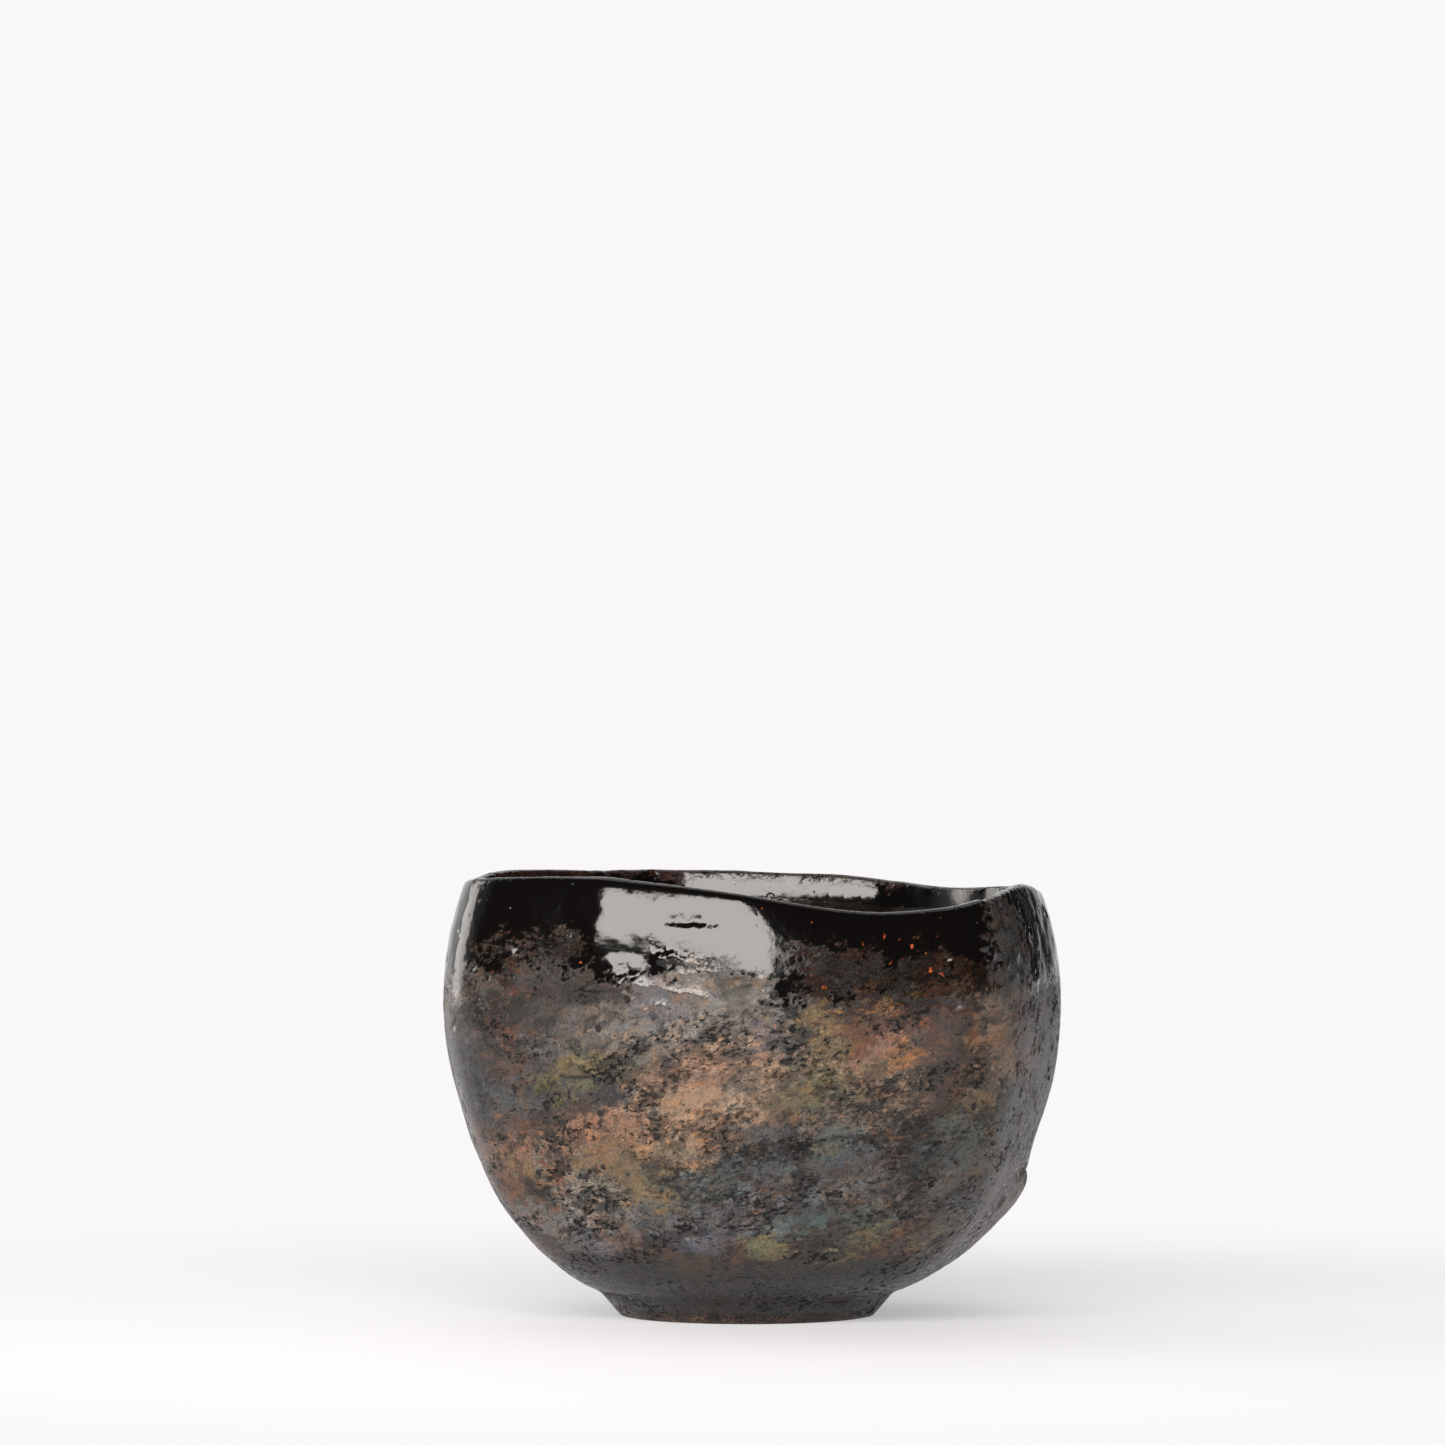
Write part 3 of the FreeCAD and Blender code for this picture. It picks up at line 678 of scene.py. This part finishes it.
def paint(skin, seed, warp):
    """The colour of the clouds at each point, and how far they cover the black glaze.

    The clouds drift by about the warp, in millimetres.
    """
    drift = warp * skin.grain(8, octaves=5, seed=seed, crispness=0.5, drawn=SIDEWAYS)
    lift = 0.6 * warp * skin.grain(6, octaves=5, seed=seed + 1, crispness=0.5, drawn=SIDEWAYS)
    torn = [
        0.6 * skin.grain(3.2, octaves=5, seed=seed + step, crispness=0.3, drawn=SIDEWAYS)
        for step in (2, 3, 4)
    ]
    ground = skin.grain(14, octaves=4, seed=seed + 5, drawn=SIDEWAYS)
    warped = skin.bearings + np.degrees(drift / WALL_RADIUS_MM)
    level = skin.heights + lift

    tint = np.broadcast_to(linear(COLOURS["leather"]), skin.grid.shape)
    tint = tinted(tint, "soot", smooth(-0.5, 0.5, ground))
    cover = 0.5 * smooth(72.0, 60.0, level + gloss_line(skin))
    for order, (name, bearing, height, half_length, half_height, tilt, strength) in enumerate(CLOUDS):
        across, up = turned_from(warped, bearing), level - height
        turn = math.radians(tilt)
        along = across * math.cos(turn) + up * math.sin(turn)
        over = up * math.cos(turn) - across * math.sin(turn)
        reach = np.hypot(along / half_length, over / half_height) + torn[order % len(torn)]
        share = strength * smooth(1.2, 0.8, reach)
        tint = tinted(tint, name, share)
        cover = np.maximum(cover, 0.9 * share)
    tint = tint * (1.0 + 0.5 * smooth(36.0, 18.0, skin.heights)[..., None])
    tint = tinted(tint, "char", 0.9 * smooth(18.0, 9.0, level))
    return tint * LIT, cover


def gloss_line(skin):
    """How far the black gloss of the top runs down over the clouds, in millimetres."""
    wander = 9.0 * skin.grain(30, octaves=3, seed=15, drawn=UPWARDS)
    wander = wander * (1.0 - skin.band("gloss_front"))
    return 5.0 * skin.band("gloss_right") - 4.0 * skin.band("gloss_left") + wander


def pitting(skin):
    """How thickly pinholes lie."""
    flanks = skin.band("right_pits") + skin.band("left_pits")
    pitted = np.clip(0.35 + 0.65 * flanks + 0.9 * skin.patch("bursts"), 0.0, 1.3)
    return pitted * (1.0 - 0.9 * glossy_front(skin))


def polish(skin):
    """How polished the glaze is."""
    level = skin.heights + 2.0 * skin.grain(7, octaves=4, seed=14, crispness=0.5)
    shine = smooth(61.0, 70.0, level + gloss_line(skin)) * (1.0 - 0.8 * skin.patch("satin"))
    shine = np.maximum(shine, skin.patch("blob"))
    shine = np.maximum(shine, smooth(0.1, 0.5, fold_crests(skin)))
    shine = np.maximum(shine, skin.band("left_gloss") * smooth(24.0, 44.0, level))
    shine = np.where(skin.outside, shine, 1.0)
    flank = smooth(-42.0, -39.5, skin.bearings + (75.0 - skin.heights) * 0.1)
    flank = flank * smooth(-24.0, -30.0, skin.bearings) * smooth(56.0, 66.0, skin.heights)
    far_crest = bell(skin.rows - CREST_ROW, CREST_HALF_ROWS) * skin.band("far_lip")
    return shine * (1.0 - 0.5 * flank) * (1.0 - far_crest)


def embers(skin):
    """How many embers glow in the glaze."""
    glow = 0.5 * np.maximum(skin.patch("right_embers"), skin.patch("lip_embers"))
    glow = np.maximum(glow, 0.4 * skin.patch("left_embers"))
    for bearing, height, radius in EMBERS:
        reach = np.hypot(turned_from(skin.bearings, bearing), skin.heights - height)
        glow = np.maximum(glow, bell(reach, radius))
    return glow


def painted_fields(grid):
    """Everything that the glaze's material reads at each point."""
    skin = Skin(grid)
    tint, cover = paint(skin, seed=11, warp=3.0)
    under, under_cover = paint(skin, seed=31, warp=7.0)
    return {
        "tint": tint,
        "under": under,
        "cover": (cover + under_cover) / 2,
        "pitting": pitting(skin),
        "polish": polish(skin),
        "embers": embers(skin),
        "calm": np.maximum(skin.patch("calm_front"), skin.patch("calm_flank")),
    }


# --- pieces ---------------------------------------------------------------------------------------


def make_piece(name, grid, normals, fields, closed=False, ended=False):
    """A mesh piece from a grid of points, with its fields as attributes of the same names.

    closed joins the last row to the first, and ended closes the last row on its middle.
    """
    columns, rows = grid.shape[:2]
    index = np.arange(columns * rows).reshape(columns, rows)
    there = np.roll(index, -1, axis=0)
    quads = np.stack([index[:, :-1], there[:, :-1], there[:, 1:], index[:, 1:]], axis=2).reshape(-1, 4)
    faces = quads.tolist()
    points = grid.reshape(-1, 3).tolist()
    directions = normals.reshape(-1, 3).tolist()
    if closed:
        last = np.stack([index[:, -1], there[:, -1], there[:, 0], index[:, 0]], axis=1)
        faces += last.tolist()
    if ended:
        faces += [[a, b, len(points)] for a, b in zip(index[:, -1].tolist(), there[:, -1].tolist())]
        points.append(grid[:, -1].mean(axis=0).tolist())
        directions.append(normals[:, -1].mean(axis=0).tolist())
    mesh = bpy.data.meshes.new(name)
    mesh.from_pydata(points, [], faces)
    mesh.polygons.foreach_set("use_smooth", np.ones(len(faces), bool))
    mesh.normals_split_custom_set_from_vertices(directions)
    for field, values in fields.items():
        values = values.reshape(columns * rows, -1)
        if ended:
            values = np.vstack([values, values[-1:]])
        add_attribute(mesh, field, values)
    piece = bpy.data.objects.new(name, mesh)
    bpy.context.scene.collection.objects.link(piece)
    return piece


def add_attribute(mesh, name, values):
    """Keep one number or one colour for each point of a mesh under a name."""
    if values.shape[1] == 3:
        layer = mesh.attributes.new(name, "FLOAT_COLOR", "POINT")
        values = np.hstack([values, np.ones((len(values), 1))])
        layer.data.foreach_set("color", values.astype(np.float32).ravel())
    else:
        layer = mesh.attributes.new(name, "FLOAT", "POINT")
        layer.data.foreach_set("value", values.astype(np.float32).ravel())


# --- materials ------------------------------------------------------------------------------------

WARMER = (1.22, 0.98, 0.78, 1.0)  # what a colour is multiplied by
COOLER = (0.82, 0.97, 1.12, 1.0)
STROKE_STRETCH, STROKE_TILT = (1.7, 1.7, 1.0), -15  # the firing's marks lie in slightly tilted strokes
PINHOLE_STRETCH = (1.0, 1.0, 0.7)
COAT_IOR, GRITTY_IOR, BLACK_IOR = 1.47, 1.32, 1.52


class Nodes:
    """Short calls for wiring the nodes of a material or of the world."""

    def __init__(self, owner):
        owner.use_nodes = True
        self.owner = owner
        self.tree = owner.node_tree
        self.shader = self.tree.nodes.get("Principled BSDF")
        self.coordinates = self.add("ShaderNodeTexCoord").outputs
        self.place = self.coordinates["Object"]

    def add(self, kind, inputs=(), **settings):
        node = self.tree.nodes.new(kind)
        for key, value in settings.items():
            setattr(node, key, value)
        for key, value in dict(inputs).items():
            self.set(node.inputs[key], value)
        return node

    def set(self, socket, value):
        if isinstance(value, bpy.types.NodeSocket):
            self.tree.links.new(value, socket)
        else:
            socket.default_value = value

    def math(self, operation, first, second):
        return self.add("ShaderNodeMath", {0: first, 1: second}, operation=operation).outputs[0]

    def times(self, first, second):
        return self.math("MULTIPLY", first, second)

    def plus(self, first, second):
        return self.math("ADD", first, second)

    def minus(self, first, second):
        return self.math("SUBTRACT", first, second)

    def rise(self, value, low, high, bottom=0.0, top=1.0):
        """A smooth step of a value from one level to another."""
        inputs = {"Value": value, "From Min": low, "From Max": high, "To Min": bottom, "To Max": top}
        return self.add("ShaderNodeMapRange", inputs, interpolation_type="SMOOTHSTEP").outputs[0]

    def mix(self, share, first, second, blend="MIX"):
        node = self.add("ShaderNodeMix", data_type="RGBA", blend_type=blend)
        self.set(node.inputs[0], share)
        self.set(node.inputs[6], first)
        self.set(node.inputs[7], second)
        return node.outputs[2]

    def mix_shader(self, share, first, second):
        return self.add("ShaderNodeMixShader", {0: share, 1: first, 2: second}).outputs[0]

    def split(self, colour):
        """The parts of a colour: its red, green and blue."""
        return self.add("ShaderNodeSeparateColor", {0: colour}).outputs

    def stretched(self, scale, tilt=0.0):
        """Object coordinates squeezed by scale, after a tilt about Y in degrees."""
        inputs = {"Vector": self.place, "Scale": scale, "Rotation": (0.0, math.radians(tilt), 0.0)}
        kind = "TEXTURE" if tilt else "POINT"
        return self.add("ShaderNodeMapping", inputs, vector_type=kind).outputs[0]

    def noise(self, size_mm, detail=4.0, vector=None, rough=0.55, distortion=0.0, output="Fac"):
        inputs = {
            "Vector": vector or self.place,
            "Scale": 1000.0 / size_mm,
            "Detail": detail,
            "Roughness": rough,
            "Distortion": distortion,
        }
        return self.add("ShaderNodeTexNoise", inputs).outputs[output]

    def cells(self, size_mm, vector=None):
        """Scattered cells: the distance from the middle of each, and a random colour for it."""
        inputs = {"Vector": vector or self.place, "Scale": 1000.0 / size_mm}
        outputs = self.add("ShaderNodeTexVoronoi", inputs).outputs
        return outputs["Distance"], outputs["Color"]

    def field(self, name, output="Fac"):
        return self.add("ShaderNodeAttribute", attribute_name=name).outputs[output]

    def bump(self, height, depth_mm, under=None):
        node = self.add("ShaderNodeBump", {"Height": height, "Distance": depth_mm * MM, "Strength": 1.0})
        if under is not None:
            self.set(node.inputs["Normal"], under)
        return node.outputs[0]

    def finish(self, colour, roughness, normal):
        """Give the shader its colour, roughness and normal, and return the material."""
        self.set(self.shader.inputs["Base Color"], colour)
        self.set(self.shader.inputs["Roughness"], roughness)
        self.set(self.shader.inputs["Normal"], normal)
        return self.owner


def rgba(name, share=1.0):
    return (*(linear(COLOURS[name]) * share), 1.0)


def cloud_colour(n, strokes, speckle, clusters, mood):
    """The colour of the clouds, torn into patches and strewn with grit."""
    swirl = n.rise(n.noise(3.0, 7.0, strokes, rough=0.72, distortion=1.0), 0.53, 0.58)
    tint = n.mix(swirl, n.field("tint", "Color"), n.field("under", "Color"))
    red, green, _ = n.split(n.noise(2.4, 6.0, strokes, rough=0.7, output="Color"))
    for part, shift in ((red, WARMER), (green, COOLER)):
        tint = n.mix(n.rise(part, 0.50, 0.62), tint, n.mix(1.0, tint, shift, "MULTIPLY"))

    mottle = n.noise(1.7, 8.0, strokes, rough=0.8, distortion=0.4)
    worn = n.times(n.rise(n.plus(mottle, clusters), 0.50, 0.56), n.times(mood, 0.85))
    tint = n.mix(worn, tint, n.mix(0.22, rgba("char", 0.5), tint))
    patches = n.noise(5.5, 9.0, strokes, rough=0.64, distortion=0.8)
    patches = n.rise(patches, 0.54, 0.57, 0.0, 0.75)
    tint = n.mix(patches, tint, n.mix(0.3, rgba("slate", 0.2), tint))
    smears = n.noise(2.8, 7.0, strokes, rough=0.6, distortion=1.2)
    smears = n.plus(smears, n.times(clusters, 0.5))
    smears = n.times(n.rise(smears, 0.53, 0.60, 0.0, 0.65), mood)
    tint = n.mix(smears, tint, n.mix(0.3, rgba("soot", 0.25), tint))

    pale = n.rise(n.minus(mottle, clusters), 0.50, 0.40, 1.0, 1.35)
    grit = n.times(n.rise(speckle, 0.32, 0.68, -0.45, 0.55), mood)
    grit = n.times(n.plus(grit, 1.0), pale)
    grey = n.add("ShaderNodeCombineColor", {0: grit, 1: grit, 2: grit}).outputs[0]
    return n.mix(1.0, tint, grey, "MULTIPLY")


def with_embers(n, colour, speckle):
    """The colour with sparks where embers are likely, and coals where they are certain."""
    likely = n.field("embers")
    distance, chances = n.cells(1.3)
    size = n.rise(n.times(likely, n.split(chances)[1]), 0.38, 0.95, 0.0, 0.3)
    spark = n.rise(n.minus(distance, size), 0.0, -0.08)
    coal = n.rise(n.plus(likely, n.minus(speckle, 0.5)), 0.72, 0.82)
    glow = n.mix(n.rise(speckle, 0.35, 0.65), rgba("rust", 0.7), rgba("ember"))
    return n.mix(n.math("MAXIMUM", spark, coal), colour, glow)


def with_grains(n, colour, speckle):
    """The colour with reddish grains of the clay near the floor."""
    height = n.add("ShaderNodeSeparateXYZ", {0: n.place}).outputs["Z"]
    grains = n.times(n.rise(height, 3.6 * MM, 0.4 * MM), n.rise(speckle, 0.48, 0.58))
    grains = n.times(grains, n.rise(n.noise(3.0), 0.40, 0.62, 0.25, 1.0))
    return n.mix(grains, colour, rgba("clay", 0.6))


def pinholes(n):
    """0 in the pinholes of the glaze, and 1 around them."""
    distance, chances = n.cells(2.2, n.stretched(PINHOLE_STRETCH))
    size = n.rise(n.times(n.field("pitting"), n.split(chances)[0]), 0.25, 1.0, 0.0, 0.26)
    return n.rise(n.minus(distance, size), -0.08, 0.04)


def burst_cups(n):
    """1 in the few wide cups that burst bubbles leave, and 0 around them."""
    distance, chances = n.cells(5.5)
    luck = n.times(n.split(chances)[0], n.rise(n.field("pitting"), 0.05, 0.3))
    edge = n.minus(distance, n.rise(luck, 0.30, 1.0, 0.0, 0.17))
    return n.times(n.rise(edge, 0.01, -0.05), n.rise(luck, 0.30, 0.35))


def glaze_material(name, gritty=False):
    """Black glaze under the clouds of the firing: glossy where black, and satin where clouded.

    Where it is gritty, reddish grains of the clay break through along its lower edge.
    """
    n = Nodes(bpy.data.materials.new(name))
    strokes = n.stretched(STROKE_STRETCH, STROKE_TILT)
    fine = n.noise(0.8, 6.0, strokes, rough=0.75)
    speckle = n.noise(0.5, 3.0, rough=0.8)
    clusters = n.times(n.minus(n.noise(6.0, 5.0, strokes, rough=0.65), 0.5), 1.05)
    mood = n.rise(n.noise(13.0, 4.0, strokes), 0.40, 0.60, 0.5, 1.05)
    mood = n.times(mood, n.minus(1.2, n.times(n.field("calm"), 0.65)))

    laid = n.rise(n.plus(n.times(n.minus(fine, 0.5), 1.5), n.field("cover")), 0.32, 0.62)
    colour = n.mix(laid, rgba("black", 0.6), cloud_colour(n, strokes, speckle, clusters, mood))
    flecks = n.plus(n.noise(0.75, 4.0, strokes, rough=0.7), n.times(clusters, 0.9))
    dark = n.times(n.rise(flecks, 0.60, 0.66), mood)
    colour = n.mix(n.times(dark, 0.95), colour, rgba("black", 0.5))
    colour = with_embers(n, colour, speckle)
    if gritty:
        colour = with_grains(n, colour, speckle)
    hole, cup = pinholes(n), burst_cups(n)
    colour = n.mix(cup, n.mix(hole, rgba("black"), colour), rgba("umber", 0.4))

    matt = n.times(laid, n.minus(1.0, n.times(n.field("polish"), 0.85)))
    rough = n.plus(n.rise(matt, 0.0, 1.0, 0.08, 0.38), n.times(dark, matt))
    n.shader.inputs["IOR"].default_value = GRITTY_IOR if gritty else COAT_IOR

    relief = n.bump(n.times(n.noise(1.3), n.rise(matt, 0.0, 1.0, 0.2, 1.0)), 0.10)
    relief = n.bump(n.times(n.plus(fine, dark), n.times(matt, matt)), 0.11, relief)
    relief = n.bump(n.minus(hole, cup), 0.3, relief)
    return n.finish(colour, rough, relief)


def black_material(name):
    """Plain glossy black glaze."""
    n = Nodes(bpy.data.materials.new(name))
    colour = n.mix(n.noise(6.0), rgba("black", 0.5), rgba("umber", 0.5))
    rough = n.rise(n.noise(3.0), 0.3, 0.7, 0.06, 0.14)
    n.shader.inputs["IOR"].default_value = BLACK_IOR
    return n.finish(colour, rough, n.bump(n.noise(2.0), 0.08))


def clay_material(name):
    """Bare dark clay, as under the foot."""
    n = Nodes(bpy.data.materials.new(name))
    grit = n.noise(0.9, rough=0.7)
    colour = n.mix(n.rise(grit, 0.35, 0.65), rgba("char", 0.5), rgba("bark", 0.6))
    return n.finish(colour, n.rise(grit, 0.3, 0.7, 0.6, 0.85), n.bump(grit, 0.35))


# --- building -------------------------------------------------------------------------------------


def build_bowl():
    """The skins of the outer glaze, of the lip and of the inside, cut from one grid."""
    wall = draw_wall(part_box("foot_ring")[1])
    wall = press(wall, grid_normals(wall))
    normals = grid_normals(eased(wall))
    fields = painted_fields(wall)
    coat = glaze_material("fired_glaze")
    inner = black_material("inner_black")
    lip_end, rows = OUTSIDE_ROWS + LIP_ROWS - 2, wall.shape[1]
    spans = (  # name, first row, end row, CAD nodes, slot, material
        ("outer_glaze_coat", 0, OUTSIDE_ROWS, ["outer_glaze"], "outer_glaze", coat),
        ("lip_glaze_coat", OUTSIDE_ROWS - 1, lip_end, ["lip_glaze"], "lip_glaze", coat),
        ("inner_glaze_coat", lip_end - 1, rows, ["inner_glaze", "well_glaze_pool"], "inner_glaze", inner),
    )
    for name, start, end, nodes, slot, material in spans:
        span = {field: values[:, start:end] for field, values in fields.items()}
        piece = make_piece(name, wall[:, start:end], normals[:, start:end], span, ended=end == rows)
        dress(piece, nodes, material)


def build_foot():
    """The foot ring, whose skin follows its CAD solid as it is."""
    foot = draw_foot(*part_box("foot_ring"))
    normals = grid_normals(foot, closed=True)
    piece = make_piece("foot_ring_carved", foot, normals, painted_fields(foot), closed=True)
    dress(piece, ["foot_ring"], glaze_material("gritty_clay", gritty=True))


def dress(piece, nodes, material):
    """Put a piece in the place of CAD nodes."""
    piece.data.materials.append(material)
    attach(piece, "root")
    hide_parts(*nodes)


def build_body():
    """The clay body stays the CAD solid itself, and shows only under the bowl, within the foot."""
    clay = clay_material("raku_clay")
    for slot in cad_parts["clay_body"].material_slots:
        slot.material = clay


# --- stage, light and camera ----------------------------------------------------------------------

WHITE = (0.95, 0.93, 0.94, 1.0)  # the backdrop as the camera sees it
FLOOR_COLOUR = (0.85, 0.865, 0.885, 1.0)
FLOOR_HALF = 3.0
FLOOR_WHITE = (0.05, 0.30, 0.42, 1.0)  # distances from the middle (m), and the share of white at each

WALL_SLOPE_RIGHT, WALL_SLOPE_LEFT = -2.1, -0.05  # how the white wall's level changes along X
WALL_RISE = (0.0, 0.6, 0.03, 0.95)  # the levels that it fades between, and its strength at each

LAMP_COLOUR = (1.0, 0.95, 0.9)
LAMP_AIM = Vector((0, 0, 70 * MM))  # in the bowl, at the height of its upper wall
# side and height on the key light as 1 or -1, and the length and height rounded off there (m)
KEY_CORNERS = (
    (1, 1, 0.33, 0.19),
    (1, -1, 0.10, 0.06),
    (-1, 1, 0.6, 0.07),
    (-1, -1, 0.7, 0.08),
)
CARD_STEPS = 16
CARD_GAP = 2 * MM  # from a softbox to its cards

CAMERA_PLACE = (-4.8 * MM, -1.47, 116 * MM)
FOCAL_LENGTH_MM = 186.85


def add_flat(name, points, faces):
    """A flat mesh of the stage, which isn't part of the bowl."""
    mesh = bpy.data.meshes.new(name)
    mesh.from_pydata(points, [], faces)
    flat = bpy.data.objects.new(name, mesh)
    bpy.context.scene.collection.objects.link(flat)
    return flat


def build_floor():
    """A pale floor that is as white as the backdrop away from the bowl."""
    half = FLOOR_HALF
    corners = [(-half, -half, 0), (half, -half, 0), (half, half, 0), (-half, half, 0)]
    floor = add_flat("floor", corners, [(0, 1, 2, 3)])
    n = Nodes(bpy.data.materials.new("floor"))
    n.shader.inputs["Base Color"].default_value = FLOOR_COLOUR
    n.shader.inputs["Roughness"].default_value = 0.7
    away = n.add("ShaderNodeVectorMath", {0: n.place}, operation="LENGTH").outputs["Value"]
    path = n.add("ShaderNodeLightPath").outputs
    seen = n.math("MAXIMUM", path["Is Camera Ray"], path["Is Glossy Ray"])
    seen = n.math("MAXIMUM", seen, path["Is Transmission Ray"])
    share = n.times(seen, n.rise(away, *FLOOR_WHITE))
    glow = n.add("ShaderNodeEmission", {"Color": WHITE}).outputs[0]
    mixed = n.mix_shader(share, n.shader.outputs[0], glow)
    n.set(n.tree.nodes["Material Output"].inputs["Surface"], mixed)
    floor.data.materials.append(n.owner)


def build_world():
    """A white wall behind the bowl that reaches farther round on its left, in a dark studio."""
    world = bpy.data.worlds.new("studio")
    bpy.context.scene.world = world
    n = Nodes(world)
    x, y, _ = n.add("ShaderNodeSeparateXYZ", {0: n.coordinates["Generated"]}).outputs
    to_right = n.times(n.math("MAXIMUM", x, 0.0), WALL_SLOPE_RIGHT)
    to_left = n.times(n.math("MINIMUM", x, 0.0), WALL_SLOPE_LEFT)
    level = n.plus(y, n.plus(to_right, to_left))
    wall = n.tree.nodes["Background"]
    wall.inputs["Color"].default_value = (1, 1, 1, 1)
    n.set(wall.inputs["Strength"], n.rise(level, *WALL_RISE))
    backdrop = n.add("ShaderNodeBackground", {"Color": WHITE}).outputs[0]
    seen = n.add("ShaderNodeLightPath").outputs["Is Camera Ray"]
    mixed = n.mix_shader(seen, wall.outputs[0], backdrop)
    n.set(n.tree.nodes["World Output"].inputs["Surface"], mixed)


def at(bearing, elevation, distance):
    """A place at a bearing and an elevation, in degrees, and a distance from the bowl's upper wall."""
    return LAMP_AIM + ray(math.radians(bearing), math.radians(elevation)) * distance


def add_softbox(name, left, right, height, radiance):
    """A rectangular light that spans from one place to another and faces the bowl."""
    span = right - left
    lamp = bpy.data.lights.new(name, "AREA")
    lamp.shape = "RECTANGLE"
    lamp.size, lamp.size_y = span.length, height
    lamp.energy = radiance * math.pi * span.length * height
    lamp.color = LAMP_COLOUR
    box = bpy.data.objects.new(name, lamp)
    middle = (left + right) / 2
    across = span.normalized()
    back = middle - LAMP_AIM
    back = (back - across * back.dot(across)).normalized()
    turn = Matrix((across, back.cross(across), back)).transposed()
    box.matrix_world = Matrix.Translation(middle) @ turn.to_4x4()
    bpy.context.scene.collection.objects.link(box)
    return box


def round_corners(box, corners):
    """Black cards over a softbox's corners, which round its reflection in the glaze."""
    lamp = box.data
    points, faces = [], []
    for side, up, length, height in corners:
        x, y = side * lamp.size / 2, up * lamp.size_y / 2
        start = len(points)
        points.append((x, y, 0.0))
        for turn in np.linspace(0.0, math.pi / 2, CARD_STEPS + 1):
            in_by = side * length * (1 - math.cos(turn))
            down_by = up * height * (1 - math.sin(turn))
            points.append((x - in_by, y - down_by, 0.0))
        faces += [(start, start + step, start + step + 1) for step in range(1, CARD_STEPS + 1)]
    cards = add_flat(box.name + "_cards", points, faces)
    cards.matrix_world = box.matrix_world @ Matrix.Translation((0, 0, -CARD_GAP))
    cards.visible_camera = False
    n = Nodes(bpy.data.materials.new(cards.name))
    n.shader.inputs["Base Color"].default_value = (0.01, 0.01, 0.01, 1)
    n.shader.inputs["Roughness"].default_value = 1.0
    cards.data.materials.append(n.owner)


def build_lamps():
    """The key light for the front's highlight, a panel at the back left, and a box overhead."""
    key = add_softbox("key", at(-144, 19.5, 2.6), at(-70, 19.5, 0.9), height=0.42, radiance=12.2)
    round_corners(key, KEY_CORNERS)
    add_softbox("left_panel", at(162, 10, 1.5), at(140, 10, 1.5), height=1.0, radiance=3.5)
    left, right = Vector((-0.8, 0.3, 1.6)), Vector((0.8, 0.3, 1.6))
    add_softbox("overhead", left, right, height=1.2, radiance=1.0)


def build_camera():
    """A level camera a little over the lip's height, far off behind a long lens."""
    lens = bpy.data.cameras.new("camera")
    lens.sensor_width = 36
    lens.lens = FOCAL_LENGTH_MM
    lens.clip_end = 20
    camera = bpy.data.objects.new("camera", lens)
    camera.location = CAMERA_PLACE
    camera.rotation_euler = (math.pi / 2, 0, 0)
    bpy.context.scene.collection.objects.link(camera)
    bpy.context.scene.camera = camera


def main():
    build_bowl()
    build_foot()
    build_body()
    build_floor()
    build_world()
    build_lamps()
    build_camera()
    bpy.context.scene.view_settings.view_transform = "Standard"


main()
